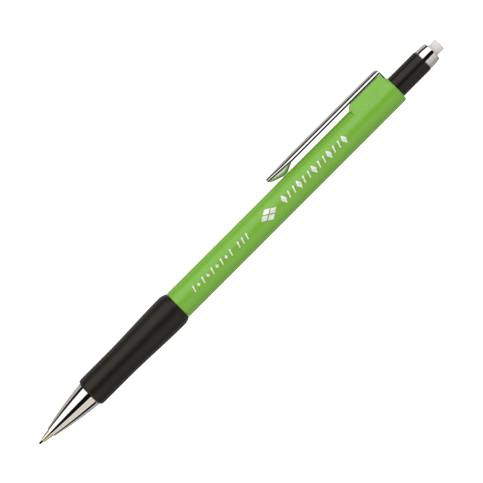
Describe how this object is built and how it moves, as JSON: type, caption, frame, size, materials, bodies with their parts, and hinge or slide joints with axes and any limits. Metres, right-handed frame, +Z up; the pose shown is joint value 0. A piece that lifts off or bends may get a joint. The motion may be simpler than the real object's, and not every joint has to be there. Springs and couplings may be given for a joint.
{
  "type": "mechanical pencil",
  "caption": "Push-button mechanical pencil with metal tip, soft black grip, green barrel, sprung metal clip and twist-out eraser, lying on its side.",
  "frame": {"origin": "the table under the middle of the pencil: centre of the underside of its bounding box", "axes": "+X along the pencil from the lead's tip to the eraser; +Z up from the table; +Y to the side on which the clip lies"},
  "size_m": [0.145, 0.0116, 0.0095],
  "materials": {
    "green_plastic": "glossy opaque moulding",
    "black_rubber": "satin",
    "black_plastic": "semi-gloss",
    "chrome": "polished plate",
    "brass": "turned",
    "spring_steel": "drawn wire",
    "graphite": "graphite lead",
    "white_plastic": "moulded",
    "lead_tube_plastic": "translucent moulding",
    "eraser_rubber": "matte"
  },
  "bodies": {
    "barrel": {"barrel": "green_plastic", "grip": "black_rubber", "nose_cone": "chrome", "cushion_spring": "spring_steel"},
    "clip": {"clip": "chrome"},
    "guide": {"guide_sleeve": "brass", "lead_retainer": "black_rubber"},
    "lead": {"lead": "graphite"},
    "cartridge": {"spring_housing": "white_plastic", "chuck_spring": "spring_steel"},
    "clutch": {"clutch_ring": "brass"},
    "push": {"chuck": "brass", "tube_connector": "white_plastic", "lead_tube": "lead_tube_plastic"},
    "spare_leads": {"spare_lead_1": "graphite", "spare_lead_2": "graphite", "spare_lead_3": "graphite"},
    "eraser_unit": {"eraser_cage": "white_plastic"},
    "twist": {"twist_sleeve": "black_plastic", "eraser_spiral": "black_plastic", "end_ring": "chrome"},
    "eraser_feed_body": {"eraser_carrier": "white_plastic", "eraser": "eraser_rubber"}
  },
  "joints": [
    {"name": "clip_flex", "type": "hinge", "parent": "barrel", "child": "clip", "pos_m": [0.0561, 0.0035, 0.0024], "axis": [0, -0.4669, -0.8843], "range_deg": [0, 5], "stiffness_Nm_per_rad": 1, "springref_deg": -1.72},
    {"name": "guide_retract", "type": "slide", "parent": "barrel", "child": "guide", "axis": [1, 0, 0], "range_m": [0, 0.0028]},
    {"name": "lead_feed", "type": "slide", "parent": "barrel", "child": "lead", "axis": [-1, 0, 0], "range_m": [-0.0015, 0.0065]},
    {"name": "cushion", "type": "slide", "parent": "barrel", "child": "cartridge", "axis": [1, 0, 0], "range_m": [0, 0.0012], "stiffness_N_per_m": 3000, "springref_m": -0.0012, "deforming": ["cushion_spring"]},
    {"name": "push_button", "type": "slide", "parent": "cartridge", "child": "push", "axis": [-1, 0, 0], "range_m": [0, 0.0036], "stiffness_N_per_m": 900, "springref_m": -0.002, "deforming": ["chuck_spring"]},
    {"name": "clutch_slide", "type": "slide", "parent": "cartridge", "child": "clutch", "axis": [-1, 0, 0], "range_m": [0, 0.00105]},
    {"name": "spare_lead_slide", "type": "slide", "parent": "push", "child": "spare_leads", "axis": [1, 0, 0], "range_m": [-0.0012, 0.0018]},
    {"name": "refill_pull", "type": "slide", "parent": "push", "child": "eraser_unit", "axis": [1, 0, 0], "range_m": [0, 0.03]},
    {"name": "eraser_feed", "type": "slide", "parent": "eraser_unit", "child": "eraser_feed_body", "axis": [1, 0, 0], "range_m": [-0.002, 0.012]},
    {"name": "eraser_twist", "type": "hinge", "parent": "eraser_unit", "child": "twist", "pos_m": [0.06, -0.00101, 0.00478], "axis": [1, 0, 0], "range_deg": [-181, 1081]}
  ],
  "couplings": [
    {"joint": "clutch_slide", "follows": "push_button", "ratio": 0.28},
    {"joint": "eraser_twist", "follows": "eraser_feed", "rad_per_m": 1570.8}
  ]
}
